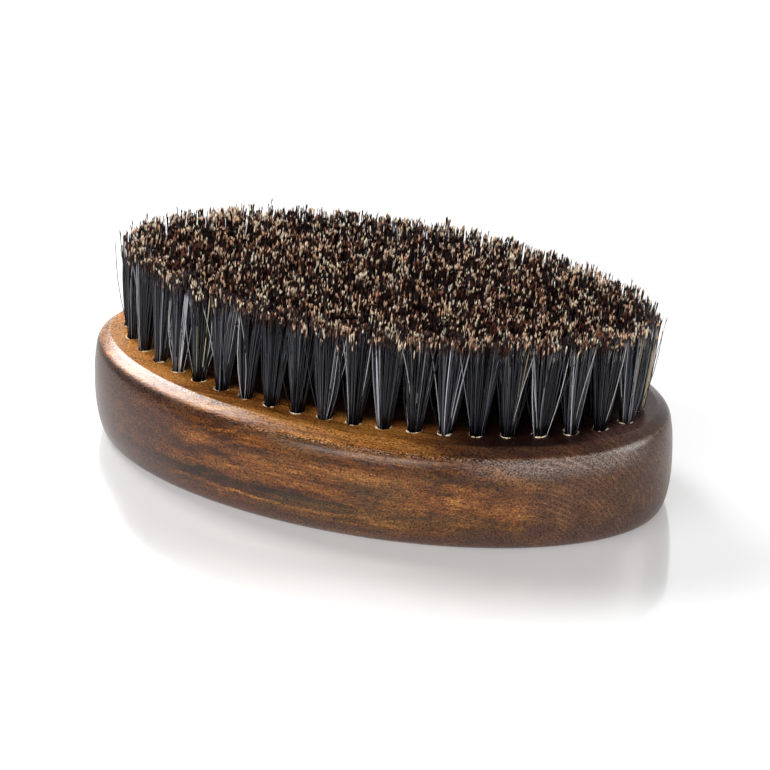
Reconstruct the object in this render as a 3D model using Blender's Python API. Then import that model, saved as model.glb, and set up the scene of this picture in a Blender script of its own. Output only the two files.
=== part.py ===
"""Beard brush: an oval walnut block, machine-filled with tufts of boar bristle.

A tuft is a bunch of bristle folded over a small flat anchor. The anchor is driven into a blind
hole with the fold under it, and its two ends bite into the wood on either side.
Lengths are in metres. The origin is the centre of the block's flat underside, +X runs along the
block, +Y across it and +Z up to the bristle tips.
"""

import math

import bmesh
import bpy
import numpy as np
from mathutils import Matrix, Vector

OBJECT_NAME = "beard_brush"

# The block: an oval with a deep soft lower edge, a wall that leans in a little towards its top, and
# a shoulder that slopes up to the flat tuft face. Insets are from the widest outline, measured at
# the block's two ends and at its long sides.
BLOCK_LENGTH = 0.110
BLOCK_WIDTH = 0.0632
BLOCK_HEIGHT = 0.019
BASE_INSETS = (0.0021, 0.0029)
BASE_ROUND_HEIGHT = 0.0094
SHOULDER_INSETS = (0.0005, 0.0017)
SHOULDER_HEIGHT = 0.0176
FACE_INSETS = (0.0026, 0.0047)
OUTLINE_SIDES = 64
ROUND_STEPS = 4
WALL_STEPS = 3

# The blind holes and the play between a tuft, an anchor and the wood.
HOLE_RADIUS = 0.00135
HOLE_DEPTH = 0.008
HOLE_SIDES = 8
CLEARANCE = 0.0003

# The filling pattern: oval rings of holes, outermost first, round one straight row.
OUTER_RING_LENGTH = 0.0978
OUTER_RING_WIDTH = 0.046
RING_LENGTH_STEP = 0.0058
RING_WIDTH_STEP = 0.00575
RING_COUNTS = (42, 36, 30, 24)
RING_SQUARENESS = (1.8, 2.0, 2.35, 3.2)
RING_NAMES = ("outer_tuft", "second_ring_tufts", "third_ring_tufts", "fourth_ring_tufts")
CENTRE_ROW_COUNT = 10
CENTRE_ROW_LENGTH = 0.049

# A tuft: it stands this far above the face and fans out from its hole to its trimmed tips.
TUFT_HEIGHT = 0.0176
TUFT_SIDES = 6
FOOT_RADIUS = 0.00094
LONE_TIP = (0.00275, 0.0019)
JOINED_TIP = (0.0036, 0.0018)

# An anchor: a flat snippet of wire, set across its hole just above the fold of the bristle.
ANCHOR_SIZE = Vector((0.00035, 0.0033, 0.0018))
FOLD_THICKNESS = 0.0005

# Materials: base colour, roughness, metallic.
WALNUT = ("walnut", (0.16, 0.075, 0.035, 1.0), 0.42, 0.0)
BRISTLE = ("boar_bristle", (0.03, 0.028, 0.03, 1.0), 0.5, 0.0)
ANCHOR_WIRE = ("anchor_wire", (0.70, 0.55, 0.30, 1.0), 0.35, 1.0)


def clear_scene():
    for obj in list(bpy.data.objects):
        bpy.data.objects.remove(obj, do_unlink=True)


def new_collection(name):
    collection = bpy.data.collections.new(name)
    bpy.context.scene.collection.children.link(collection)
    return collection


def principled(name, colour, roughness, metallic):
    material = bpy.data.materials.new(name)
    material.use_nodes = True
    shader = material.node_tree.nodes["Principled BSDF"]
    shader.inputs["Base Color"].default_value = colour
    shader.inputs["Roughness"].default_value = roughness
    shader.inputs["Metallic"].default_value = metallic
    material.diffuse_color = colour
    return material


def add_loft(bm, rings):
    """Add one closed body through rings of equally many points, listed from bottom to top."""
    loops = [[bm.verts.new(point) for point in ring] for ring in rings]
    count = len(loops[0])
    for lower, upper in zip(loops, loops[1:]):
        for i in range(count):
            j = (i + 1) % count
            bm.faces.new((lower[i], lower[j], upper[j], upper[i]))
    bm.faces.new(reversed(loops[0]))
    bm.faces.new(loops[-1])


def mesh_object(name, bm, collection, material=None, parent=None):
    """Turn a bmesh into an object, smooth over its shallow edges and sharp over the rest."""
    mesh = bpy.data.meshes.new(name)
    bm.to_mesh(mesh)
    bm.free()
    mesh.shade_smooth()
    mesh.set_sharp_from_angle(angle=math.radians(35))
    obj = bpy.data.objects.new(name, mesh)
    collection.objects.link(obj)
    obj.parent = parent
    if material:
        mesh.materials.append(material)
    return obj


def cutter_object(name, bm, collection):
    obj = mesh_object(name, bm, collection)
    obj.hide_render = True
    obj.display_type = "WIRE"
    return obj


def add_boolean(obj, other, operation):
    modifier = obj.modifiers.new(other.name, "BOOLEAN")
    modifier.object = other
    modifier.operation = operation
    modifier.solver = "EXACT"


def signed_power(values, exponent):
    return np.sign(values) * np.abs(values) ** exponent


def oval_edge(half_length, half_width, squareness):
    """Points close together along an oval, once round from its +X end. Squareness 2 is an ellipse."""
    angles = np.linspace(0.0, 2 * math.pi, 7201)
    x = half_length * signed_power(np.cos(angles), 2 / squareness)
    y = half_width * signed_power(np.sin(angles), 2 / squareness)
    return x, y


def ring_places(ring):
    """Hole centres spaced evenly round a ring, each with the ring's direction there.

    Ring 0 is the outermost. The rings inside it get squarer, so that their ends stay rounded
    and the holes stay equally far apart.
    """
    half_length = OUTER_RING_LENGTH / 2 - ring * RING_LENGTH_STEP
    half_width = OUTER_RING_WIDTH / 2 - ring * RING_WIDTH_STEP
    x, y = oval_edge(half_length, half_width, RING_SQUARENESS[ring])
    walked = np.concatenate(([0.0], np.cumsum(np.hypot(np.diff(x), np.diff(y)))))
    pitch = walked[-1] / RING_COUNTS[ring]
    places = []
    for i in range(RING_COUNTS[ring]):
        before, centre, after = (
            Vector((np.interp(walk, walked, x), np.interp(walk, walked, y)))
            for walk in ((i + 0.4) * pitch, (i + 0.5) * pitch, (i + 0.6) * pitch))
        places.append((centre, (after - before).normalized()))
    return places


def centre_row_places():
    pitch = CENTRE_ROW_LENGTH / (CENTRE_ROW_COUNT - 1)
    start = -CENTRE_ROW_LENGTH / 2
    return [(Vector((start + i * pitch, 0.0)), Vector((1.0, 0.0))) for i in range(CENTRE_ROW_COUNT)]


def block_ring(insets, height):
    """The block's outline at one height, its ends drawn in by insets[0] and its sides by insets[1]."""
    ring = []
    for i in range(OUTLINE_SIDES):
        angle = 2 * math.pi * i / OUTLINE_SIDES
        edge = Vector((BLOCK_LENGTH / 2 * math.cos(angle), BLOCK_WIDTH / 2 * math.sin(angle), height))
        outward = Vector((BLOCK_WIDTH * math.cos(angle), BLOCK_LENGTH * math.sin(angle), 0.0)).normalized()
        inset = insets[0] * outward.x ** 2 + insets[1] * outward.y ** 2
        ring.append(edge - inset * outward)
    return ring


def scaled(insets, factor):
    return [inset * factor for inset in insets]


def block_rings():
    """The lower rounding, the wall that bows in to the shoulder, and the face, from the bottom up."""
    rings = []
    for i in range(ROUND_STEPS + 1):
        turn = math.pi / 2 * i / ROUND_STEPS
        height = BASE_ROUND_HEIGHT * (1 - math.cos(turn))
        rings.append(block_ring(scaled(BASE_INSETS, 1 - math.sin(turn)), height))
    for i in range(1, WALL_STEPS + 1):
        share = i / WALL_STEPS
        height = BASE_ROUND_HEIGHT + (SHOULDER_HEIGHT - BASE_ROUND_HEIGHT) * share
        rings.append(block_ring(scaled(SHOULDER_INSETS, share ** 3), height))
    rings.append(block_ring(FACE_INSETS, BLOCK_HEIGHT))
    return rings


def tuft_rings(centre, along, tip_radii):
    """A tuft's sections at the fold, at the face and at the tips; its flats face its neighbours."""
    across = Vector((-along.y, along.x))
    foot_radii = (FOOT_RADIUS, FOOT_RADIUS)
    sections = (
        (foot_radii, BLOCK_HEIGHT - HOLE_DEPTH + CLEARANCE),
        (foot_radii, BLOCK_HEIGHT),
        (tip_radii, BLOCK_HEIGHT + TUFT_HEIGHT),
    )
    rings = []
    for radii, height in sections:
        ring = []
        for i in range(TUFT_SIDES):
            angle = 2 * math.pi * (i + 0.5) / TUFT_SIDES
            point = centre + radii[0] * math.cos(angle) * along + radii[1] * math.sin(angle) * across
            ring.append(point.to_3d() + Vector((0.0, 0.0, height)))
        rings.append(ring)
    return rings


def tufts_bmesh(places, tip_radii):
    bm = bmesh.new()
    for centre, along in places:
        add_loft(bm, tuft_rings(centre, along, tip_radii))
    return bm


def holes_bmesh(places):
    """A cylinder for each blind hole, standing clear above the tuft face."""
    bm = bmesh.new()
    depth = 2 * HOLE_DEPTH
    for centre, _ in places:
        bmesh.ops.create_cone(
            bm, cap_ends=True, segments=HOLE_SIDES, radius1=HOLE_RADIUS, radius2=HOLE_RADIUS,
            depth=depth, matrix=Matrix.Translation(centre.to_3d() + Vector((0.0, 0.0, BLOCK_HEIGHT))))
    return bm


def anchor_centre(place):
    """An anchor sits across its hole, one clearance above the folded bristle under it."""
    fold_top = BLOCK_HEIGHT - HOLE_DEPTH + CLEARANCE + FOLD_THICKNESS
    height = fold_top + CLEARANCE + ANCHOR_SIZE.z / 2
    return Vector((place[0].x, place[0].y, height))


def boxes_bmesh(centres, size):
    bm = bmesh.new()
    for centre in centres:
        bmesh.ops.create_cube(bm, size=1.0, matrix=Matrix.Translation(centre) @ Matrix.Diagonal((*size, 1.0)))
    return bm


def make_block(places, slots, collection, cutters, parent):
    bm = bmesh.new()
    add_loft(bm, block_rings())
    block = mesh_object("handle_block", bm, collection, principled(*WALNUT), parent)
    add_boolean(block, cutter_object("tuft_holes", holes_bmesh(places), cutters), "DIFFERENCE")
    add_boolean(block, slots, "DIFFERENCE")


def make_outer_tufts(places, collection, material, parent):
    for number, place in enumerate(places, start=1):
        bm = tufts_bmesh([place], LONE_TIP)
        mesh_object(f"{RING_NAMES[0]}_{number:02d}", bm, collection, material, parent)


def make_joined_tufts(name, places, collection, cutters, material, parent):
    """Tufts whose tips run into each other: every other tuft, joined with the ones between."""
    row = mesh_object(name, tufts_bmesh(places[::2], JOINED_TIP), collection, material, parent)
    between = cutter_object(f"{name}_between", tufts_bmesh(places[1::2], JOINED_TIP), cutters)
    add_boolean(row, between, "UNION")
    return row


def make_anchors(centres, collection, parent):
    material = principled(*ANCHOR_WIRE)
    for number, centre in enumerate(centres, start=1):
        bm = boxes_bmesh([Vector()], ANCHOR_SIZE)
        anchor = mesh_object(f"anchor_{number:02d}", bm, collection, material, parent)
        anchor.location = centre


def make_brush():
    collection = new_collection(OBJECT_NAME)
    cutters = new_collection("cutters")
    parent = bpy.data.objects.new(OBJECT_NAME, None)
    collection.objects.link(parent)

    rings = [ring_places(ring) for ring in range(len(RING_COUNTS))]
    centre_row = centre_row_places()
    anchor_centres = [anchor_centre(place) for place in centre_row]
    slot_size = ANCHOR_SIZE + 2 * Vector((CLEARANCE, CLEARANCE, CLEARANCE))
    slots = cutter_object("anchor_slots", boxes_bmesh(anchor_centres, slot_size), cutters)
    bristle = principled(*BRISTLE)

    make_block(sum(rings, centre_row), slots, collection, cutters, parent)
    make_outer_tufts(rings[0], collection, bristle, parent)
    for name, places in zip(RING_NAMES[1:], rings[1:]):
        make_joined_tufts(name, places, collection, cutters, bristle, parent)
    row = make_joined_tufts("centre_row_tufts", centre_row, collection, cutters, bristle, parent)
    add_boolean(row, slots, "DIFFERENCE")
    make_anchors(anchor_centres, collection, parent)


clear_scene()
make_brush()
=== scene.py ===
"""Looks of the beard brush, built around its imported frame.

The block is remade with smooth edges and a walnut material, every tuft is remade as separate
bristles with split tips, and the anchors keep their frame solids under a metal material.
Lengths are in metres. The walnut's figure is laid out in millimetres.
"""

import math
from types import SimpleNamespace

import bmesh
import bpy
import numpy as np
from mathutils import Matrix, Vector


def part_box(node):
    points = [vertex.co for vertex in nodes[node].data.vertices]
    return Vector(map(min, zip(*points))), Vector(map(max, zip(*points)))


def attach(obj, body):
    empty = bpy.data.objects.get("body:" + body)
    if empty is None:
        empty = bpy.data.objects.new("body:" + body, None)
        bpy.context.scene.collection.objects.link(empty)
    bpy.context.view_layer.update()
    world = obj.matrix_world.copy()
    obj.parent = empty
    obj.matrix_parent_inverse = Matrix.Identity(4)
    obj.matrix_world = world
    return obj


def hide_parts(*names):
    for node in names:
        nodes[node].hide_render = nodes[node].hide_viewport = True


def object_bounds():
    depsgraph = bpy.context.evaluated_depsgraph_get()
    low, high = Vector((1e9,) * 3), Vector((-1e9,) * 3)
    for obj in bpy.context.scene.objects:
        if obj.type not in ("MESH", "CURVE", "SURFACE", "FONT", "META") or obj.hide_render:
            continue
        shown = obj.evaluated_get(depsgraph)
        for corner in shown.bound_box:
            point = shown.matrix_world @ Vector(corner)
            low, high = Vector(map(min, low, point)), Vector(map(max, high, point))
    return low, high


SEED = 20
MM = 0.001

# ---------------------------------------------------------------- sizes of the block

# The block's side, from the underside up. An inset is from the widest outline, first at the block's
# ends and then at its long sides. The frame's facets only approximate this profile.
BASE_INSETS = (2.1 * MM, 2.9 * MM)
BASE_ROUND_HEIGHT = 9.4 * MM
SHOULDER_INSETS = (0.5 * MM, 1.7 * MM)
SHOULDER_HEIGHT = 17.6 * MM
FACE_INSETS = (2.6 * MM, 4.7 * MM)
OUTLINE_SIDES = 288
ROUND_STEPS = 16
WALL_STEPS = 8
EDGE_STEPS = 6
SHARP_ANGLE = math.radians(30)

# The bevel from the shoulder to the face. The lower crease is soft up to this share of it, and the
# upper crease starts at this share and turns a little way onto the face.
LOWER_CREASE_END = 0.40
UPPER_CREASE_START = 0.96
UPPER_CREASE_INWARD = 0.12 * MM

# The drilled holes, and how far up from a tuft's lowest point its foot is read.
HOLE_RADIUS = 1.35 * MM
HOLE_SIDES = 24
HOLE_BOTTOM_GAP = 0.3 * MM
FOOT_SLACK = 0.1 * MM

# The fibre that the drill tore up round a hole. A ragged line from 0 to 1 says how far it is torn.
# The inside and the reach are shares of the hole's radius.
RIM_STATIONS = 48
RIM_WAVES = (1, 2, 3, 5)
RIM_WAVE_SIZE = 0.22
RIM_TOOTH_SIZE = 0.35
RIM_TORN_GAIN = 2.2
RIM_TORN_OFFSET = 0.75
RIM_INSIDE = 0.95
RIM_LEAST_REACH = 1.01
RIM_MORE_REACH = 0.30
RIM_LIFT = 0.26 * MM
RIM_LOWEST = 0.04 * MM
RIM_INSIDE_DEPTH = 0.3 * MM
RIM_OUTSIDE_DEPTH = 0.02 * MM

# ---------------------------------------------------------------- sizes of the bristle

# A fan is half a tuft's width at its tips, along its ring and across it. Combing moves all the tips.
OUTER_FAN = (3.5 * MM, 2.6 * MM)
INNER_FAN = (3.3 * MM, 3.3 * MM)
STRANDS_OUTER = 105
STRANDS_INNER = 74
BRISTLE_SINK = 1.5 * MM
ROOT_RADIUS = 0.95 * MM
COMBED = np.array((1.6 * MM, 0.0))
TUFT_WANDER = 0.16 * MM
BOW = 0.20 * MM

# A tuft's strands gather into wisps round some of its strands. A few stray from their wisp.
WISPS = 12
CLING = 0.40
LOOSENESS = 0.09
WIDEST_SHARE = 1.3
STRAY_SHARE = 0.085
STRAY_LOOSENESS = 8.0
STRAY_BOW = 3.0
STRAY_THINNING = 0.35

# The trim: how far the tips stand above the frame's, and how their heights differ.
TRIM_LIFT = 0.7 * MM
TRIM_SPREAD = 0.30 * MM
SHORT_SHARE = 0.16
SHORTER_BY = 2.6 * MM
TALL_SHARE = 0.015
TALLER_BY = 1.1 * MM

# A strand's thickness. It varies, and it falls along the shaft.
BRISTLE_RADIUS = 0.120 * MM
THINNEST = 0.75
THICKNESS_SPREAD = 0.5
SHAFT_TAPER = 0.2
SHAFT_STATIONS = np.array((0.0, 0.2, 0.4, 0.6, 0.8, 1.0))

# The split tip. Each prong has its side and its least parting, which is how far it ends from the
# strand's line, as a share of its length. Its knee is partway up.
FORK_LENGTH = 1.25 * MM
SHORTEST_FORK = 0.6
FORK_SPREAD = 0.8
SHORTEST_PRONG = 0.75
PRONG_SPREAD = 0.25
PRONG_SIDES = ((1.0, 0.08), (-1.0, 0.11))
PARTING_SPREAD = 0.09
PRONG_OVERLAP = 0.15
PRONG_KNEE = 0.45
KNEE_PARTING = 0.4
PRONG_RADII = np.array((0.85, 0.90))
PRONG_STATIONS = len(PRONG_RADII)

# The map that colours the strands. Its last level is kept for pale strays.
TIP_FADE = 3.0 * MM
COLOUR_LEVELS = 256
PALE_LEVEL = COLOUR_LEVELS - 1
PALE_STRAY_SHARE = 0.35
WISP_COLOUR_SHARE = 0.45
LEVEL_MARGIN = 0.25
LEVEL_WIDTH = 0.5

# ---------------------------------------------------------------- colours, linear

# The walnut's tones run from its darkest wood at 0 to its palest at 1.
BASE_TONE = 0.495
WALNUT_TONES = (
    (0.0, (0.018, 0.007, 0.003)),
    (0.30, (0.062, 0.019, 0.005)),
    (0.60, (0.178, 0.057, 0.010)),
    (1.0, (0.420, 0.170, 0.036)),
)
OLIVE_STAIN = (0.075, 0.047, 0.016)
LEFT_END_STAIN = (0.044, 0.022, 0.020)
RIGHT_END_STAIN = (0.090, 0.043, 0.026)
# Painted shade for the lower rounding, which faces the floor.
LOW_SHADE = (0.072, 0.031, 0.022)
# Painted shade under the lower crease.
CREASE_SHADE = (0.020, 0.009, 0.006)
# A painted edge highlight along the creases, broken into pale and dark specks.
GLINT_SPECK_DARK = (0.016, 0.008, 0.006)
GLINT_SPECK_PALE = (0.36, 0.24, 0.17)
RIGHT_SHOULDER_DARK = (0.030, 0.013, 0.011)
# Painted highlight on the top of the wall at the front right.
RIGHT_WALL_HIGHLIGHT = (0.27, 0.21, 0.18)
# Painted shade between the tufts; the same colour darkens the face's right part, lighter at its very end.
FACE_SHADE_AND_RIGHT_DARK = (0.014, 0.005, 0.004)
FACE_END_DARK = (0.085, 0.042, 0.036)
PORE_DARK = (0.022, 0.009, 0.005)
TORN_WOOD_TONES = (
    (0.30, (0.50, 0.26, 0.10)),
    (0.50, (0.86, 0.66, 0.42)),
    (0.70, (0.95, 0.86, 0.70)),
)
SHAFT_TONES = (
    (0.0, (0.002, 0.002, 0.003)),
    (0.55, (0.004, 0.004, 0.007)),
    (0.76, (0.034, 0.036, 0.048)),
    (0.89, (0.12, 0.125, 0.15)),
    (0.96, (0.38, 0.38, 0.42)),
    (1.0, (0.62, 0.62, 0.66)),
)
TIP_TONES = (
    (0.0, (0.004, 0.003, 0.003)),
    (0.48, (0.018, 0.007, 0.006)),
    (0.62, (0.22, 0.080, 0.048)),
    (0.75, (0.85, 0.50, 0.30)),
    (1.0, (1.0, 0.92, 0.72)),
)
BLONDE = (0.60, 0.48, 0.31)
PALE_STRAY = (0.50, 0.49, 0.50)
# Painted shade for the shafts of the inner tufts.
PAINTED_SHAFT_SHADE = (0.003, 0.002, 0.002)
BELOW_TIP = (0.028, 0.009, 0.007)
ANCHOR_BRIGHT = (0.78, 0.60, 0.30)
ANCHOR_DULL = (0.55, 0.40, 0.20)
BLONDE_SHARE = 0.015
# How much painted shade the inner tufts' shafts get.
INNER_PAINTED_SHADE = 0.75

# Where on the map a strand turns brown and then tan: 0 is far below its tip and 1 is at the tip.
BROWN_NEARNESS = (0.44, 0.62)
TAN_NEARNESS = (0.67, 0.79)
NEARNESS_SPREAD = 0.26

# ---------------------------------------------------------------- figure of the wood, in millimetres

# X is from the block's middle, Y is towards its back and Z is up from its underside. Two numbers are
# where a zone starts and where it is full. Four are where a band starts, is full, fades and ends.
# The reach of the end stain is from the plain wood. The tufted edge is in multiples of its oval.
FACE_Z = (18.75, 18.95)
SHOULDER_Z = (17.4, 17.9)
# Painted light: the face is painted paler towards its left end, where the lamp from the left falls on it.
LIT_FACE_X = (-15.0, -42.0)
# A painted shade line along the wall, and a painted highlight line below it where the lower rounding starts
# to mirror the floor.
SHADE_LINE_Z = (5.0, 5.9, 6.2, 7.2)
SHADE_LINE_X = (-46.0, -34.0, 4.0, 16.0)
HIGHLIGHT_LINE_Z = (3.7, 4.4, 4.9, 5.4)
HIGHLIGHT_LINE_X = (-30.0, -10.0, 14.0, 24.0)
PLAIN_WOOD_X = 7.0
END_STAIN_REACH = (25.0, 42.0)
LEFT_TO_RIGHT_X = (-5.0, 5.0)
# Painted shade on the lower rounding: where it starts and where it is full.
LOW_SHADE_Z = (4.4, 2.4)
HIGHER_LOW_SHADE_X = (24.0, 40.0)
UNDER_CREASE_Z = (16.0, 16.9, 17.3, 17.9)
LEFT_X = (-8.0, -20.0)
UPPER_GLINTS_Z = (18.55, 18.75, 18.93, 18.99)
LOWER_GLINTS_Z = (17.1, 17.4, 17.6, 17.8)
LOWER_GLINTS_X = (-20.0, -2.0)
DARK_RIGHT_X = (14.0, 32.0)
RIGHT_HIGHLIGHT_Z = (13.2, 16.4, 17.3, 17.7)
RIGHT_HIGHLIGHT_X = (24.0, 38.0)
RIGHT_HIGHLIGHT_Y = (-3.0, -13.0)
TUFTED_OVAL = (46.5, 21.0)
TUFTED_EDGE = (1.0, 0.93)
FACE_END_X = (43.0, 48.0)
KNOT = (38.0, -21.0, -2.0)
ARCHES_X = (33.0, 42.0)

# The pith runs along X, this far in front of the middle and below the underside, and it wanders.
PITH_IN_FRONT = 46.0
PITH_BELOW = 30.0
PITH_DRIFT = 34.0
PITH_SWAY = 7.0

# How far noise moves the edges of the figure, and how much higher the painted shade of the lower rounding
# reaches at the right.
SPECKLE_WAVER = 0.5
STREAK_WAVER = 5.0
END_STAIN_WAVER = 24.0
KNOT_WAVER = 5.0
LOW_SHADE_RISE = 1.5

# How many bumps each noise has to a millimetre, along X, Y and Z.
FIBRE_BUMPS = (0.14, 2.6, 2.6)
STREAK_BUMPS = (0.020, 0.50, 0.50)
PATCH_BUMPS = (0.028, 0.07, 0.08)
SPECKLE_BUMPS = (2.6, 4.2, 4.2)
DRIFT_BUMPS = (0.016, 0.045, 0.045)
SWAY_BUMPS = (0.05, 0.16, 0.16)
OLIVE_BUMPS = (0.030, 0.11, 0.13)
PORE_BUMPS = (0.45, 5.2, 5.2)
TORN_WOOD_BUMPS = (2.4, 2.4, 2.4)
TORN_EDGE_BUMPS = (9.0, 9.0, 9.0)
DRAWN_WIRE_BUMPS = (6.0, 0.75, 13.5)

# The levels of a noise between which it turns into its feature.
OLIVE_LEVELS = (0.55, 0.66)
GLINT_SPECK_LEVELS = (0.44, 0.56)
BROKEN_LINE_LEVELS = (0.42, 0.58)
ARCH_LEVELS = (0.35, 0.60)
PORE_LEVELS = (0.58, 0.70)

# Rings, as radians of a sine for each millimetre from their middle.
WIDE_RINGS = 1.25
FINE_RINGS = 4.3
ARCHED_RINGS = 7.5

# ---------------------------------------------------------------- the studio

# The floor. Its mirror part fades between two multiples of the block's outline. The oval multiplies
# a floor point to give 1 at about that outline.
FLOOR_HALF = 3.0
FLOOR_GAP = 0.02 * MM
FLOOR_GREY = (0.56, 0.56, 0.56)
FLOOR_GLOW = 0.44
MIRROR_OVAL = (18.2, 31.6, 0.0)
MIRROR_SHIFT = (4.0 * MM, 4.0 * MM, 0.0)
MIRROR_FADE = (1.95, 1.15)
MIRROR_STRENGTH = 0.38
MIRROR_ROUGHNESS = 0.11

# The world turns from its front brightness to its back one between these Y parts of a direction.
WORLD_TURN = (-0.1, 0.5)

# The camera: a long lens, turned from the front towards +X and raised above the table.
CAMERA_AZIMUTH = math.radians(24.44)
CAMERA_ELEVATION = math.radians(26.58)
CAMERA_DISTANCE = 0.8714
CAMERA_LENS = 225.97
CAMERA_AIM = Vector((-0.00161, 0.00605, 0.01214))
SENSOR_WIDTH = 36.0
LIGHTS_AIM = Vector((0.0, 0.0, 0.01))


# ---------------------------------------------------------------- frame readings

def node_points(node):
    return np.array([vertex.co for vertex in node.data.vertices], float)


def feet_of(node):
    """The hole centres of a frame node's tufts, in order round the brush."""
    points = node_points(node)
    low = points[points[:, 2] < points[:, 2].min() + FOOT_SLACK][:, :2]
    groups = []
    for point in low:
        near = [group for group in groups if np.hypot(*(group[0] - point)) < 2 * HOLE_RADIUS]
        if near:
            near[0].append(point)
        else:
            groups.append([point])
    middles = [(np.min(group, axis=0) + np.max(group, axis=0)) / 2 for group in groups]
    return sorted(middles, key=lambda p: math.atan2(p[1], p[0]))


# ---------------------------------------------------------------- node graphs

class Graph:
    """Short calls for building the nodes of a material or a world."""

    def __init__(self, owner, shader_name="Principled BSDF"):
        owner.use_nodes = True
        self.owner = owner
        self.nodes = owner.node_tree.nodes
        self.links = owner.node_tree.links
        self.shader = self.nodes[shader_name]

    def put(self, socket, value):
        if isinstance(value, bpy.types.NodeSocket):
            self.links.new(value, socket)
        elif isinstance(value, tuple) and len(value) == 3 and len(socket.default_value) == 4:
            socket.default_value = (*value, 1.0)
        else:
            socket.default_value = value

    def math(self, operation, a, b=0.0):
        node = self.nodes.new("ShaderNodeMath")
        node.operation = operation
        self.put(node.inputs[0], a)
        self.put(node.inputs[1], b)
        return node.outputs[0]

    def product(self, first, *others):
        result = first
        for other in others:
            result = self.math("MULTIPLY", result, other)
        return result

    def total(self, *terms):
        """The sum of (value, weight) pairs and bare numbers."""
        result = 0.0
        for term in terms:
            value = self.math("MULTIPLY", *term) if isinstance(term, tuple) else term
            result = self.math("ADD", result, value)
        return result

    def centred(self, noise):
        """Noise from 0 to 1, moved to run from -0.5 to 0.5."""
        return self.math("SUBTRACT", noise, 0.5)

    def hypotenuse(self, a, b):
        squares = [self.math("POWER", side, 2.0) for side in (a, b)]
        return self.math("SQRT", self.math("ADD", *squares))

    def vector(self, operation, a, b=(0.0, 0.0, 0.0), output="Vector"):
        node = self.nodes.new("ShaderNodeVectorMath")
        node.operation = operation
        self.put(node.inputs[0], a)
        self.put(node.inputs[1], b)
        return node.outputs[output]

    def split(self, vector):
        node = self.nodes.new("ShaderNodeSeparateXYZ")
        self.put(node.inputs[0], vector)
        return tuple(node.outputs)

    def between(self, share, start, end):
        """From start, at a share of 0, to end, at a share of 1."""
        node = self.nodes.new("ShaderNodeMapRange")
        self.put(node.inputs["Value"], share)
        self.put(node.inputs["To Min"], start)
        self.put(node.inputs["To Max"], end)
        return node.outputs[0]

    def step(self, value, low, high):
        """0 below low, 1 above high and smooth between; low may be the larger one."""
        node = self.nodes.new("ShaderNodeMapRange")
        node.interpolation_type = "SMOOTHSTEP"
        flipped = low > high
        self.put(node.inputs["Value"], value)
        self.put(node.inputs["From Min"], min(low, high))
        self.put(node.inputs["From Max"], max(low, high))
        self.put(node.inputs["To Min"], 1.0 if flipped else 0.0)
        self.put(node.inputs["To Max"], 0.0 if flipped else 1.0)
        return node.outputs[0]

    def band(self, value, start, full, fading, end):
        """0 below start, 1 from full to fading and 0 above end."""
        return self.product(self.step(value, start, full), self.step(value, end, fading))

    def mix(self, factor, a, b, blend="MIX"):
        node = self.nodes.new("ShaderNodeMix")
        node.data_type = "RGBA"
        node.blend_type = blend
        self.put(node.inputs["Factor"], factor)
        self.put(node.inputs[6], a)
        self.put(node.inputs[7], b)
        return node.outputs[2]

    def wash(self, colour, overlay, where, strength):
        """The colour with another colour laid over a part of it: a stain, or painted light or shade."""
        return self.mix(self.product(where, strength), colour, overlay)

    def ramp(self, value, stops):
        node = self.nodes.new("ShaderNodeValToRGB")
        elements = node.color_ramp.elements
        while len(elements) < len(stops):
            elements.new(0.5)
        for element, (position, colour) in zip(elements, stops):
            element.position = position
            element.color = (*colour, 1.0)
        self.put(node.inputs["Fac"], value)
        return node.outputs["Color"]

    def noise(self, place, bumps, detail, roughness=0.5):
        node = self.nodes.new("ShaderNodeTexNoise")
        self.put(node.inputs["Vector"], self.vector("MULTIPLY", place, bumps))
        self.put(node.inputs["Scale"], 1.0)
        self.put(node.inputs["Detail"], detail)
        self.put(node.inputs["Roughness"], roughness)
        return node.outputs["Fac"]

    def white_noise(self, value, salt):
        node = self.nodes.new("ShaderNodeTexWhiteNoise")
        node.noise_dimensions = "2D"
        combined = self.nodes.new("ShaderNodeCombineXYZ")
        self.put(combined.inputs["X"], value)
        self.put(combined.inputs["Y"], salt)
        self.put(node.inputs["Vector"], combined.outputs[0])
        return node.outputs["Value"]

    def coordinate(self, kind="Object"):
        return self.nodes.new("ShaderNodeTexCoord").outputs[kind]

    def place_mm(self):
        """The point in the row frame, in millimetres."""
        return self.vector("MULTIPLY", self.coordinate(), (1000.0, 1000.0, 1000.0))

    def ray_is(self, kind):
        return self.nodes.new("ShaderNodeLightPath").outputs[f"Is {kind} Ray"]

    def shader_node(self, kind, **inputs):
        node = self.nodes.new(kind)
        for name, value in inputs.items():
            self.put(node.inputs[name], value)
        return node.outputs[0]

    def blend_shaders(self, kind, *values):
        node = self.nodes.new(kind)
        for socket, value in zip(node.inputs, values):
            self.put(socket, value)
        return node.outputs[0]

    def bump(self, height, strength, distance):
        node = self.nodes.new("ShaderNodeBump")
        self.put(node.inputs["Height"], height)
        self.put(node.inputs["Strength"], strength)
        self.put(node.inputs["Distance"], distance)
        self.links.new(node.outputs[0], self.shader.inputs["Normal"])

    def finish(self, **inputs):
        for name, value in inputs.items():
            self.put(self.shader.inputs[name.replace("_", " ")], value)
        return self.owner


def material_graph(name):
    return Graph(bpy.data.materials.new(name))


# ---------------------------------------------------------------- walnut

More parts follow.
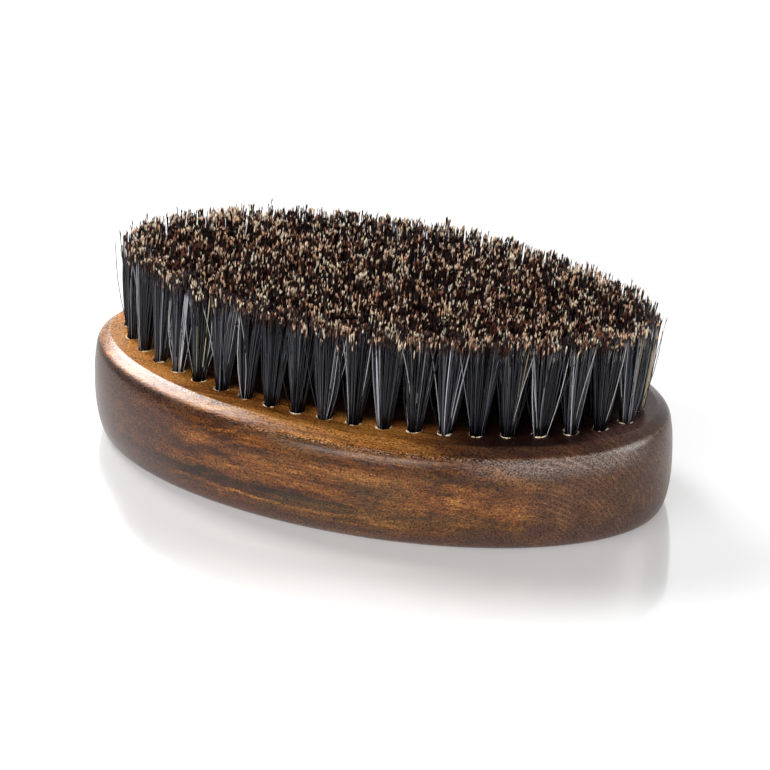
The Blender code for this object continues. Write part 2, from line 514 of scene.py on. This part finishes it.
def walnut_readings(g):
    """What the layers of the walnut share: the place in millimetres, its noises and main zones."""
    w = SimpleNamespace(place=g.place_mm())
    w.x, w.y, w.z = g.split(w.place)
    w.fibre = g.noise(w.place, FIBRE_BUMPS, detail=3.0, roughness=0.70)
    w.streaks = g.noise(w.place, STREAK_BUMPS, detail=3.0, roughness=0.60)
    w.patches = g.noise(w.place, PATCH_BUMPS, detail=1.0)
    w.speckle = g.noise(w.place, SPECKLE_BUMPS, detail=1.0, roughness=0.6)
    w.on_face = g.step(w.z, *FACE_Z)
    w.above_wall = g.step(g.total(w.z, (g.centred(w.speckle), SPECKLE_WAVER)), *SHOULDER_Z)
    w.on_wall = g.math("SUBTRACT", 1.0, w.above_wall)
    w.streaky_z = g.total(w.z, (g.centred(w.streaks), STREAK_WAVER))
    return w


def growth_rings(g, w):
    """Wide and fine rings round the pith, which wanders."""
    drift = g.noise(w.place, DRIFT_BUMPS, detail=2.0)
    sway = g.noise(w.place, SWAY_BUMPS, detail=2.0)
    from_pith_y = g.total(w.y, PITH_IN_FRONT, (g.centred(drift), PITH_DRIFT))
    from_pith_z = g.total(w.z, PITH_BELOW, (g.centred(sway), PITH_SWAY))
    radius = g.hypotenuse(from_pith_y, from_pith_z)
    return [g.math("SINE", g.product(radius, rings)) for rings in (WIDE_RINGS, FINE_RINGS)]


def unstained_walnut(g, w):
    """Rings and streaks, paler on the face, with painted light on the face's left end, a painted shade line
    along the wall and a painted highlight line below it.
    """
    wide, fine = growth_rings(g, w)
    # Painted light: the face's left end is painted paler, as if lit by the lamp from the left.
    lit_left_face = g.product(w.on_face, g.step(w.x, *LIT_FACE_X))
    # A painted shade line along the wall, and below it a painted highlight line (the glow) on the lower
    # rounding.
    painted_shade_line = g.product(g.band(w.streaky_z, *SHADE_LINE_Z), g.band(w.x, *SHADE_LINE_X))
    glow = g.product(g.band(w.streaky_z, *HIGHLIGHT_LINE_Z), g.band(w.x, *HIGHLIGHT_LINE_X))
    tone = g.total(BASE_TONE, (wide, 0.07), (fine, 0.05), (g.centred(w.fibre), 1.00),
                   (g.centred(w.streaks), 1.2), (g.centred(w.patches), 0.7),
                   (w.above_wall, 0.26), (lit_left_face, 0.32), (painted_shade_line, -0.34), (glow, 0.28))
    return g.ramp(tone, WALNUT_TONES)


def stain_and_shade_wall(g, w, colour):
    """Stain gathers on the end grain and cools to purple and olive, and the lower rounding, which faces the
    floor, is painted darker as shade.
    """
    olive_patches = g.step(g.noise(w.place, OLIVE_BUMPS, detail=1.0), *OLIVE_LEVELS)
    colour = g.wash(colour, OLIVE_STAIN, g.product(olive_patches, w.on_wall), strength=0.40)
    outward = g.math("ABSOLUTE", g.math("SUBTRACT", w.x, PLAIN_WOOD_X))
    ends = g.step(g.total(outward, (g.centred(w.patches), END_STAIN_WAVER)), *END_STAIN_REACH)
    end_stain = g.mix(g.step(w.x, *LEFT_TO_RIGHT_X), LEFT_END_STAIN, RIGHT_END_STAIN)
    colour = g.wash(colour, end_stain, g.product(ends, w.on_wall), strength=0.78)
    # Painted shade: the lower rounding is painted darker, reaching higher at the right.
    raised = g.step(w.x, *HIGHER_LOW_SHADE_X)
    low = g.step(g.total(w.streaky_z, (raised, -LOW_SHADE_RISE)), *LOW_SHADE_Z)
    return g.wash(colour, LOW_SHADE, low, strength=0.60)


def shade_and_glint_creases(g, w, colour):
    """Painted shade under the lower crease, painted highlight specks along the creases, and the right
    shoulder painted darker.
    """
    left = g.step(w.x, *LEFT_X)
    # Painted shade under the lower crease, where the wall's top mirrors the dark front of the studio;
    # stronger on the left.
    shaded_crease = g.band(w.z, *UNDER_CREASE_Z)
    colour = g.wash(colour, CREASE_SHADE, shaded_crease, strength=g.total(0.15, (left, 0.40)))
    # Painted highlights on the crease edges, as pale specks among dark ones: on the upper crease at the
    # left and on the lower crease further right.
    glint_specks = g.mix(g.step(w.speckle, *GLINT_SPECK_LEVELS), GLINT_SPECK_DARK, GLINT_SPECK_PALE)
    upper = g.product(g.band(w.z, *UPPER_GLINTS_Z), left)
    colour = g.wash(colour, glint_specks, upper, strength=0.60)
    # The right shoulder is painted darker.
    right_shoulder = g.product(w.above_wall, g.step(w.x, *DARK_RIGHT_X))
    colour = g.wash(colour, RIGHT_SHOULDER_DARK, right_shoulder, strength=0.84)
    lower = g.product(g.band(w.z, *LOWER_GLINTS_Z), g.step(w.x, *LOWER_GLINTS_X),
                      g.step(w.fibre, *BROKEN_LINE_LEVELS))
    return g.wash(colour, glint_specks, lower, strength=0.50)


def paint_right_wall_highlight(g, w, colour):
    """A painted highlight on the top of the wall, at the front near the right end."""
    # Painted highlight: pale colour on the wall's top at the front right, where a glint falls.
    painted_highlight = g.product(g.band(w.z, *RIGHT_HIGHLIGHT_Z), g.step(w.x, *RIGHT_HIGHLIGHT_X), g.step(w.y, *RIGHT_HIGHLIGHT_Y))
    return g.wash(colour, RIGHT_WALL_HIGHLIGHT, painted_highlight, strength=g.total(0.35, (w.speckle, 0.6)))


def darken_face(g, w, colour):
    """Painted shade on the face between the tufts, and the face painted darker to the right."""
    half_length, half_width = TUFTED_OVAL
    from_middle = g.hypotenuse(g.math("DIVIDE", w.x, half_length), g.math("DIVIDE", w.y, half_width))
    # Painted shade inside the tufted oval, joined with a darker right part of the face.
    tuft_shade_and_right = g.math("MAXIMUM", g.step(from_middle, *TUFTED_EDGE), g.step(w.x, *DARK_RIGHT_X))
    overlay = g.mix(g.step(w.x, *FACE_END_X), FACE_SHADE_AND_RIGHT_DARK, FACE_END_DARK)
    return g.wash(colour, overlay, g.product(tuft_shade_and_right, w.on_face), strength=0.94)


def side_branch(g, w):
    """Fine arched rings of a side branch, near the right end."""
    from_knot = g.vector("DISTANCE", w.place, KNOT, output="Value")
    phase = g.product(g.total(from_knot, (w.patches, KNOT_WAVER)), ARCHED_RINGS)
    arches = g.step(g.math("SINE", phase), 0.0, 1.0)
    return g.product(arches, g.step(w.x, *ARCHES_X), g.step(w.streaks, *ARCH_LEVELS))


def walnut_material():
    """Stained walnut with its grain along X."""
    g = material_graph("walnut_stain")
    w = walnut_readings(g)
    colour = unstained_walnut(g, w)
    for layer in (stain_and_shade_wall, shade_and_glint_creases, paint_right_wall_highlight, darken_face):
        colour = layer(g, w, colour)
    grit = g.total(1.0, (g.centred(w.speckle), 3.6), (side_branch(g, w), 0.70))
    colour = g.mix(1.0, colour, grit, "MULTIPLY")
    pores = g.step(g.noise(w.place, PORE_BUMPS, detail=1.0), *PORE_LEVELS)
    colour = g.wash(colour, PORE_DARK, pores, strength=0.55)
    g.bump(g.total(w.fibre, (pores, -0.8), (w.speckle, 0.8)), strength=0.25, distance=0.05 * MM)
    roughness = g.total(0.20, (w.speckle, 0.20))
    return g.finish(Base_Color=colour, Roughness=roughness, Specular_IOR_Level=0.30)


def torn_wood_material():
    """Bare wood fibre that the drill lifted round each hole."""
    g = material_graph("torn_wood")
    place = g.place_mm()
    grain = g.noise(place, TORN_WOOD_BUMPS, detail=2.0, roughness=0.6)
    g.bump(g.noise(place, TORN_EDGE_BUMPS, detail=1.0), strength=0.3, distance=0.05 * MM)
    return g.finish(Base_Color=g.ramp(grain, TORN_WOOD_TONES), Roughness=0.7)


# ---------------------------------------------------------------- bristle and metal materials

def bristle_material(name, painted_shade):
    """Boar bristle, coloured by its own map: across is nearness to the tip, up is the strand's level. A
    share of painted shade darkens the shafts and dims their sheen, for the inner tufts' copy.
    """
    g = material_graph(name)
    uv = g.nodes.new("ShaderNodeUVMap")
    uv.uv_map = "OFBake"
    nearness, level, _ = g.split(uv.outputs[0])
    level = g.math("FLOOR", g.product(level, float(COLOUR_LEVELS)))
    shade, reach, pale, blonde = (g.white_noise(level, salt) for salt in (1.5, 4.5, 7.5, 11.5))

    shaft = g.ramp(shade, SHAFT_TONES)
    shaft = g.mix(g.math("GREATER_THAN", blonde, 1.0 - BLONDE_SHARE), shaft, BLONDE)
    shaft = g.mix(g.math("GREATER_THAN", level, PALE_LEVEL - 0.5), shaft, PALE_STRAY)
    # Painted shade: the inner tufts' shafts are darkened, as they stand in the shade of the outer ones.
    shaft = g.mix(painted_shade, shaft, PAINTED_SHAFT_SHADE)
    nearness = g.total(nearness, (g.centred(reach), NEARNESS_SPREAD))
    brown = g.step(nearness, *BROWN_NEARNESS)
    tan = g.step(nearness, *TAN_NEARNESS)
    colour = g.wash(shaft, BELOW_TIP, brown, strength=0.85)
    colour = g.mix(tan, colour, g.ramp(pale, TIP_TONES))
    roughness = g.total(0.25, (tan, 0.30))
    light_share = 1.0 - painted_shade
    sheen = g.total(0.5 * light_share, (tan, -0.3 * light_share))
    return g.finish(Base_Color=colour, Roughness=roughness, Specular_IOR_Level=sheen)


def anchor_material():
    """Brass wire, streaked by its drawing."""
    g = material_graph("anchor_wire")
    drawn = g.noise(g.place_mm(), DRAWN_WIRE_BUMPS, detail=3.0)
    colour = g.mix(drawn, ANCHOR_BRIGHT, ANCHOR_DULL)
    g.bump(drawn, strength=0.2, distance=0.02 * MM)
    return g.finish(Base_Color=colour, Roughness=g.total(0.22, (drawn, 0.2)), Metallic=1.0)


# ---------------------------------------------------------------- block

def linked_object(name, data):
    item = bpy.data.objects.new(name, data)
    bpy.context.scene.collection.objects.link(item)
    return item


def mesh_piece(name, mesh, material, replaced):
    piece = linked_object(name, mesh)
    mesh.materials.append(material)
    if replaced:
        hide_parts(*replaced)
    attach(piece, "root")
    return piece


def mesh_of(bm, name):
    mesh = bpy.data.meshes.new(name)
    bm.to_mesh(mesh)
    bm.free()
    return mesh


def add_loft(bm, rings):
    loops = [[bm.verts.new(point) for point in ring] for ring in rings]
    count = len(loops[0])
    for lower, upper in zip(loops, loops[1:]):
        for i in range(count):
            j = (i + 1) % count
            bm.faces.new((lower[i], lower[j], upper[j], upper[i]))
    bm.faces.new(reversed(loops[0]))
    bm.faces.new(loops[-1])


def bend(start, corner, end, steps):
    """A quadratic curve that turns round a corner, without its first point."""
    shares = [i / steps for i in range(1, steps + 1)]
    return [start * (1 - t) ** 2 + corner * 2 * t * (1 - t) + end * t ** 2 for t in shares]


def block_profile():
    """Side points from the underside to the face, each as (end inset, side inset, height)."""
    profile = []
    for i in range(ROUND_STEPS + 1):
        turn = math.pi / 2 * i / ROUND_STEPS
        inset = Vector((*BASE_INSETS, 0.0)) * (1 - math.sin(turn))
        profile.append(inset + Vector((0.0, 0.0, BASE_ROUND_HEIGHT * (1 - math.cos(turn)))))
    for i in range(1, WALL_STEPS):
        share = i / WALL_STEPS
        height = BASE_ROUND_HEIGHT + (SHOULDER_HEIGHT - BASE_ROUND_HEIGHT) * share
        profile.append(Vector((*SHOULDER_INSETS, 0.0)) * share ** 3 + Vector((0.0, 0.0, height)))
    shoulder = Vector((*SHOULDER_INSETS, SHOULDER_HEIGHT))
    edge = Vector((*FACE_INSETS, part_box("handle_block")[1].z))
    inward = Vector((UPPER_CREASE_INWARD, UPPER_CREASE_INWARD, 0.0))
    profile += bend(profile[-1], shoulder, shoulder.lerp(edge, LOWER_CREASE_END), EDGE_STEPS)
    profile += bend(shoulder.lerp(edge, UPPER_CREASE_START), edge, edge + inward, EDGE_STEPS)
    return profile


def block_ring(half_length, half_width, end_inset, side_inset, height):
    ring = []
    for i in range(OUTLINE_SIDES):
        angle = 2 * math.pi * i / OUTLINE_SIDES
        edge = Vector((half_length * math.cos(angle), half_width * math.sin(angle), height))
        outward = Vector((half_width * math.cos(angle), half_length * math.sin(angle), 0.0)).normalized()
        ring.append(edge - (end_inset * outward.x ** 2 + side_inset * outward.y ** 2) * outward)
    return ring


def hole_cutter(feet, top, depth):
    bm = bmesh.new()
    for foot in feet:
        centre = Matrix.Translation((foot[0], foot[1], top))
        bmesh.ops.create_cone(bm, cap_ends=True, segments=HOLE_SIDES, radius1=HOLE_RADIUS,
                              radius2=HOLE_RADIUS, depth=2 * depth, matrix=centre)
    return linked_object("hole_cutter", mesh_of(bm, "hole_cutter"))


def make_block(feet, depth, material):
    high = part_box("handle_block")[1]
    bm = bmesh.new()
    add_loft(bm, [block_ring(high.x, high.y, *point) for point in block_profile()])
    mesh = mesh_of(bm, "walnut_block")
    block = mesh_piece("walnut_block", mesh, material, ["handle_block"])
    cutter = hole_cutter(feet, high.z, depth)
    modifier = block.modifiers.new("holes", "BOOLEAN")
    modifier.object = cutter
    modifier.solver = "EXACT"
    bpy.context.view_layer.update()
    evaluated = block.evaluated_get(bpy.context.evaluated_depsgraph_get())
    block.data = bpy.data.meshes.new_from_object(evaluated)
    block.modifiers.clear()
    bpy.data.objects.remove(cutter)
    block.data.shade_smooth()
    block.data.set_sharp_from_angle(angle=SHARP_ANGLE)


def ragged(angles, random):
    """A closed wavy line round a rim, from 0 to 1, with a few broad waves and some small teeth."""
    waves = sum(random.random() * np.sin(k * angles + random.random() * 2 * math.pi) for k in RIM_WAVES)
    teeth = random.random(len(angles))
    return np.clip(0.5 + RIM_WAVE_SIZE * waves + RIM_TOOTH_SIZE * (teeth - 0.5), 0.0, 1.0)


def make_torn_rims(feet, top, material, random):
    """A low ragged lip of lifted fibre round each hole's mouth."""
    bm = bmesh.new()
    angles = np.linspace(0, 2 * math.pi, RIM_STATIONS, endpoint=False)
    for foot in feet:
        torn = np.clip(RIM_TORN_GAIN * ragged(angles, random) - RIM_TORN_OFFSET, 0.0, 1.0)
        reach = HOLE_RADIUS * (RIM_LEAST_REACH + RIM_MORE_REACH * torn * ragged(angles, random))
        lift = RIM_LIFT * torn - RIM_LOWEST
        sections = []
        for angle, outer, height in zip(angles, reach, lift):
            direction = np.array((math.cos(angle), math.sin(angle)))
            profile = ((RIM_INSIDE * HOLE_RADIUS, -RIM_INSIDE_DEPTH), (HOLE_RADIUS, height),
                       (outer, -RIM_OUTSIDE_DEPTH))
            sections.append([bm.verts.new((*(foot + r * direction), top + z)) for r, z in profile])
        for section, after in zip(sections, sections[1:] + sections[:1]):
            for j in range(3):
                k = (j + 1) % 3
                bm.faces.new((section[j], section[k], after[k], after[j]))
    bmesh.ops.recalc_face_normals(bm, faces=bm.faces)
    mesh_piece("torn_rims", mesh_of(bm, "torn_rims"), material, [])


# ---------------------------------------------------------------- bristle

def ring_directions(feet):
    """For each foot, the outward direction of the oval that its ring follows."""
    feet = np.array(feet)
    half = np.abs(feet).max(axis=0)
    if half[1] < HOLE_RADIUS:
        return np.tile((0.0, 1.0), (len(feet), 1))
    outward = feet / half ** 2
    return outward / np.linalg.norm(outward, axis=1)[:, None]


def oriented(shares, outward, sizes):
    """Shares along and across the ring, sized and turned to x and y; outward is one vector a tuft."""
    along = np.stack((-outward[:, 1], outward[:, 0]), axis=1)
    return shares[..., :1] * sizes[0] * along[:, None] + shares[..., 1:] * sizes[1] * outward[:, None]


def of_nearest(values, nearest):
    """Each strand's value from its tuft's list of values for wisps."""
    return np.take_along_axis(values, nearest, axis=1)


def disc_points(shape, random):
    """Points spread evenly over a disc of radius 1."""
    fill = np.sqrt(random.random(shape))
    turn = random.random(shape) * 2 * math.pi
    return np.stack((fill * np.cos(turn), fill * np.sin(turn)), axis=-1)


def gather(disc, nearest, stray, random):
    """The disc's points drawn towards the leader of their wisp, each missing it by a little."""
    leaders = of_nearest(disc[:, :WISPS], nearest[..., None])
    miss = random.normal(0.0, LOOSENESS, disc.shape) * np.where(stray[..., None], STRAY_LOOSENESS, 1.0)
    return np.clip(disc + CLING * (leaders - disc) + miss, -WIDEST_SHARE, WIDEST_SHARE)


def trim_heights(top, nearest, random):
    """Heights of the tips: a wisp's strands differ less than its tuft's, and a few are short or tall."""
    of_wisps = random.normal(0.0, TRIM_SPREAD, (len(nearest), WISPS))
    height = top + TRIM_LIFT + of_nearest(of_wisps, nearest)
    height = height + random.normal(0.0, TRIM_SPREAD, nearest.shape)
    lot = random.random(nearest.shape)
    height = height - (lot < SHORT_SHARE) * random.random(nearest.shape) * SHORTER_BY
    return height + (lot > 1.0 - TALL_SHARE) * TALLER_BY


def tuft_strands(feet, outward, fan, count, heights, random):
    """The strands of some tufts: roots, tips, bows, wisp numbers and whether they stray from their wisp."""
    face, top = heights
    shape = (len(feet), count)
    disc = disc_points(shape, random)
    from_leaders = disc[:, :, None] - disc[:, None, :WISPS]
    nearest = np.linalg.norm(from_leaders, axis=-1).argmin(axis=-1)
    stray = random.random(shape) < STRAY_SHARE
    gathered = gather(disc, nearest, stray, random)
    middle = feet[:, None] + COMBED + random.normal(0.0, TUFT_WANDER, (len(feet), 1, 2))
    roots = feet[:, None] + oriented(disc, outward, (ROOT_RADIUS, ROOT_RADIUS))
    tips = middle + oriented(gathered, outward, fan)
    height = trim_heights(top, nearest, random)
    bows = random.normal(0.0, BOW, disc.shape) * np.where(stray[..., None], STRAY_BOW, 1.0)
    low = np.full((*shape, 1), face - BRISTLE_SINK)
    wisps = nearest + WISPS * np.arange(len(feet))[:, None]
    return SimpleNamespace(
        count=len(feet) * count,
        roots=np.concatenate((roots, low), axis=-1).reshape(-1, 3),
        tips=np.concatenate((tips, height[..., None]), axis=-1).reshape(-1, 3),
        bows=bows.reshape(-1, 2),
        wisps=wisps.ravel(),
        stray=stray.ravel(),
    )


def strand_paths(strands, shares):
    """Points along each bowed strand, at its own shares of the way to its tip."""
    t = shares[..., None]
    paths = strands.roots[:, None] + (strands.tips - strands.roots)[:, None] * t
    paths[..., :2] += strands.bows[:, None] * np.sin(math.pi * t)
    return paths


def tube_rings(paths, radii):
    """Three corners round each path point, in the level plane."""
    corners = []
    for i in range(3):
        angle = 2 * math.pi * i / 3
        offset = np.array((math.cos(angle), math.sin(angle), 0.0))
        corners.append(paths + radii[..., None] * offset)
    return np.stack(corners, axis=2)


def tube_faces(stations, first, count, stride, apex):
    """Faces of count tubes of equal make; apex says whether the last ring closes to a point."""
    one = [(0, 2, 1)]
    for s in range(stations - 1):
        for i in range(3):
            j = (i + 1) % 3
            one.append((3 * s + i, 3 * s + j, 3 * s + 3 + j, 3 * s + 3 + i))
    last = 3 * (stations - 1)
    if apex:
        one += [(last + i, last + (i + 1) % 3, last + 3) for i in range(3)]
    else:
        one.append((last, last + 1, last + 2))
    return [tuple(first + k * stride + corner for corner in face) for k in range(count) for face in one]


def prong_points(shaft_ends, headings, forks, thickness, random):
    """Vertices of each strand's two prongs: their rings and then their apex."""
    count = len(shaft_ends)
    turn = random.random(count) * 2 * math.pi
    part = np.stack((np.cos(turn), np.sin(turn), np.zeros(count)), axis=1)
    radii = thickness[:, None] * PRONG_RADII
    points = []
    for side, parting in PRONG_SIDES:
        reach = forks * (SHORTEST_PRONG + PRONG_SPREAD * random.random((count, 1)))
        splay = side * part * reach * (parting + PARTING_SPREAD * random.random((count, 1)))
        base = shaft_ends - PRONG_OVERLAP * forks * headings
        knee = shaft_ends + PRONG_KNEE * reach * headings + KNEE_PARTING * splay
        apex = shaft_ends + reach * headings + splay
        rings = tube_rings(np.stack((base, knee), axis=1), radii)
        points += [rings.reshape(count, -1, 3), apex[:, None]]
    return points


def strand_vertices(strands, random):
    """Vertices of every strand: its shaft's rings and then its prongs."""
    count = strands.count
    length = np.linalg.norm(strands.tips - strands.roots, axis=1)
    fork = FORK_LENGTH * (SHORTEST_FORK + FORK_SPREAD * random.random(count))
    paths = strand_paths(strands, SHAFT_STATIONS * (1.0 - fork / length)[:, None])
    thickness = BRISTLE_RADIUS * (THINNEST + THICKNESS_SPREAD * random.random(count))
    thickness = thickness * (1.0 - STRAY_THINNING * strands.stray)
    shaft = tube_rings(paths, thickness[:, None] * (1.0 - SHAFT_TAPER * SHAFT_STATIONS))
    headings = paths[:, -1] - paths[:, -2]
    headings = headings / np.linalg.norm(headings, axis=1)[:, None]
    prongs = prong_points(paths[:, -1], headings, fork[:, None], thickness, random)
    return np.concatenate([shaft.reshape(count, -1, 3), *prongs], axis=1)


def strand_faces(count, stride):
    shaft_points = 3 * len(SHAFT_STATIONS)
    prong_size = 3 * PRONG_STATIONS + 1
    faces = tube_faces(len(SHAFT_STATIONS), 0, count, stride, False)
    for i in range(len(PRONG_SIDES)):
        faces += tube_faces(PRONG_STATIONS, shaft_points + i * prong_size, count, stride, True)
    return faces


def bristle_mesh(name, strands, random):
    """Every strand as a thin shaft that ends in two short closed prongs."""
    vertices = strand_vertices(strands, random)
    mesh = bpy.data.meshes.new(name)
    mesh.from_pydata(vertices.reshape(-1, 3), [], strand_faces(strands.count, vertices.shape[1]))
    mesh.shade_smooth()
    colour_map(mesh, vertices, strands, random)
    return mesh


def colour_levels(strands, random):
    """Each strand's level on the map: its own, its wisp's, or the one for pale strays."""
    own = random.integers(0, PALE_LEVEL, strands.count)
    shared = random.integers(0, PALE_LEVEL, strands.wisps.max() + 1)[strands.wisps]
    level = np.where(random.random(strands.count) < WISP_COLOUR_SHARE, shared, own)
    is_pale = strands.stray & (random.random(strands.count) < PALE_STRAY_SHARE)
    return np.where(is_pale, PALE_LEVEL, level)


def colour_map(mesh, vertices, strands, random):
    """The map that colours the strands: nearness to the tip, and the strand's level."""
    below_tip = np.maximum(strands.tips[:, None, 2] - vertices[:, :, 2], 0.0)
    nearness = np.exp(-below_tip / TIP_FADE)
    level = colour_levels(strands, random)
    # The corners of a ring lie at different heights of their level, so that faces have some area.
    in_level = LEVEL_MARGIN + LEVEL_WIDTH * (np.arange(vertices.shape[1]) % 3) / 3
    level = (level[:, None] + in_level) / COLOUR_LEVELS
    corners = np.empty(len(mesh.loops), np.int32)
    mesh.loops.foreach_get("vertex_index", corners)
    uv = mesh.uv_layers.new(name="OFBake")
    values = np.stack((nearness.ravel()[corners], level.ravel()[corners]), axis=1)
    uv.data.foreach_set("uv", values.astype(np.float32).ravel())


def make_tufts(node, feet, outward, fan, count, heights, material, random):
    """One piece of bristle, for the tufts that one frame node stands for."""
    name = f"bristle_{node}"
    strands = tuft_strands(np.array(feet), np.array(outward), fan, count, heights, random)
    mesh = bristle_mesh(name, strands, random)
    mesh_piece(name, mesh, material, [node])


# ---------------------------------------------------------------- stage

def floor_material():
    """White acrylic that mirrors the brush near its foot, for the camera only, and is matt further out."""
    g = material_graph("white_acrylic")
    g.nodes.remove(g.shader)
    from_foot = g.vector("MULTIPLY", g.vector("ADD", g.coordinate(), MIRROR_SHIFT), MIRROR_OVAL)
    near_foot = g.step(g.vector("LENGTH", from_foot, output="Value"), *MIRROR_FADE)
    mirrored = g.product(near_foot, g.ray_is("Camera"), MIRROR_STRENGTH)
    glossy = g.shader_node("ShaderNodeBsdfGlossy", Color=(1.0, 1.0, 1.0), Roughness=MIRROR_ROUGHNESS)
    matt = g.shader_node("ShaderNodeBsdfDiffuse", Color=FLOOR_GREY)
    glow = g.shader_node("ShaderNodeEmission", Strength=FLOOR_GLOW)
    lit = g.blend_shaders("ShaderNodeAddShader", matt, glow)
    mixed = g.blend_shaders("ShaderNodeMixShader", mirrored, lit, glossy)
    g.links.new(mixed, g.nodes["Material Output"].inputs["Surface"])
    return g.owner


def make_floor():
    mesh = bpy.data.meshes.new("studio_floor")
    signs = ((-1, -1), (1, -1), (1, 1), (-1, 1))
    mesh.from_pydata([(x * FLOOR_HALF, y * FLOOR_HALF, 0) for x, y in signs], [], [(0, 1, 2, 3)])
    mesh.materials.append(floor_material())
    floor = linked_object("studio_floor", mesh)
    floor.location.z = -FLOOR_GAP


def towards(azimuth, elevation):
    """The direction at a bearing from +X and a height above the table, both in radians."""
    level = math.cos(elevation)
    return Vector((level * math.cos(azimuth), level * math.sin(azimuth), math.sin(elevation)))


def aim(item, target):
    item.rotation_mode = "QUATERNION"
    item.rotation_quaternion = (target - item.location).to_track_quat("-Z", "Y")


def make_light(name, azimuth, elevation, distance, size, power, mirrored):
    """A softbox at a bearing from +X and a height in degrees, for reflections or for matt light only."""
    data = bpy.data.lights.new(name, "AREA")
    data.shape = "RECTANGLE"
    data.size, data.size_y = size
    data.energy = power
    light = linked_object(name, data)
    light.location = distance * towards(math.radians(azimuth), math.radians(elevation))
    aim(light, LIGHTS_AIM)
    light.visible_diffuse = not mirrored
    light.visible_glossy = mirrored


def make_world(front, back_mirrored, back_cast):
    """A studio that is dark in front of the brush and pale behind it; the camera sees plain white."""
    g = Graph(bpy.data.worlds.new("studio"), "Background")
    y = g.split(g.coordinate("Generated"))[1]
    back = g.between(g.ray_is("Diffuse"), back_mirrored, back_cast)
    around = g.between(g.step(y, *WORLD_TURN), front, back)
    strength = g.between(g.ray_is("Camera"), around, 1.0)
    bpy.context.scene.world = g.finish(Color=(1.0, 1.0, 1.0), Strength=strength)


def make_camera():
    data = bpy.data.cameras.new("camera")
    data.lens = CAMERA_LENS
    data.sensor_width = SENSOR_WIDTH
    data.clip_start, data.clip_end = 0.05, 20.0
    camera = linked_object("camera", data)
    camera.location = CAMERA_DISTANCE * towards(CAMERA_AZIMUTH - math.pi / 2, CAMERA_ELEVATION)
    aim(camera, CAMERA_AIM)
    bpy.context.scene.camera = camera


# ---------------------------------------------------------------- the brush

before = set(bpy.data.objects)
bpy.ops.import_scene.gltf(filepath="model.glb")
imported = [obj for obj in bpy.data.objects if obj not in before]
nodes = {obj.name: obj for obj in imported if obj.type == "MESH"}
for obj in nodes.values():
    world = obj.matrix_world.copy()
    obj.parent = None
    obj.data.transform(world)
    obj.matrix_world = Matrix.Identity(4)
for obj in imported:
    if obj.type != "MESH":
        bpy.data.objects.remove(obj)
CAD_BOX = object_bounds()
random = np.random.default_rng(SEED)

outer_nodes = sorted(name for name in nodes if name.startswith("outer_tuft"))
joined_nodes = ["second_ring_tufts", "third_ring_tufts", "fourth_ring_tufts", "centre_row_tufts"]
anchor_nodes = sorted(name for name in nodes if name.startswith("anchor"))
face_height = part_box("handle_block")[1].z
heights = (face_height, CAD_BOX[1].z)
hole_depth = face_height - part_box(outer_nodes[0])[0].z + HOLE_BOTTOM_GAP

outer_feet = [feet_of(nodes[name])[0] for name in outer_nodes]
outer_directions = ring_directions(outer_feet)
joined_feet = {name: feet_of(nodes[name]) for name in joined_nodes}
all_feet = outer_feet + [foot for name in joined_nodes for foot in joined_feet[name]]

make_block(all_feet, hole_depth, walnut_material())
make_torn_rims(outer_feet, face_height, torn_wood_material(), random)

outer_bristle = bristle_material("outer_bristle", 0.0)
# The inner tufts get a copy of the bristle with painted shade.
shaded_inner_bristle = bristle_material("shaded_inner_bristle", INNER_PAINTED_SHADE)
for name, foot, direction in zip(outer_nodes, outer_feet, outer_directions):
    make_tufts(name, [foot], [direction], OUTER_FAN, STRANDS_OUTER, heights, outer_bristle, random)
for name, feet in joined_feet.items():
    make_tufts(name, feet, ring_directions(feet), INNER_FAN, STRANDS_INNER, heights, shaded_inner_bristle, random)

metal = anchor_material()
for name in anchor_nodes:
    nodes[name].data.materials.clear()
    nodes[name].data.materials.append(metal)

make_floor()
make_world(front=0.05, back_mirrored=0.95, back_cast=0.50)
make_light("key_left", 157, 51, distance=0.90, size=(0.30, 0.26), power=7.4, mirrored=False)
make_light("front_fill", -105, 38, distance=1.20, size=(1.60, 0.80), power=14.5, mirrored=False)
make_light("bristle_glint", -100, 30, distance=1.00, size=(0.50, 0.25), power=4.5, mirrored=True)
make_light("shoulder_glint", 154, 44, distance=0.78, size=(0.34, 0.45), power=11.0, mirrored=True)
make_light("right_glint", 10, 23, distance=0.80, size=(0.35, 0.60), power=6.5, mirrored=True)
make_camera()
bpy.context.scene.view_settings.view_transform = "Standard"
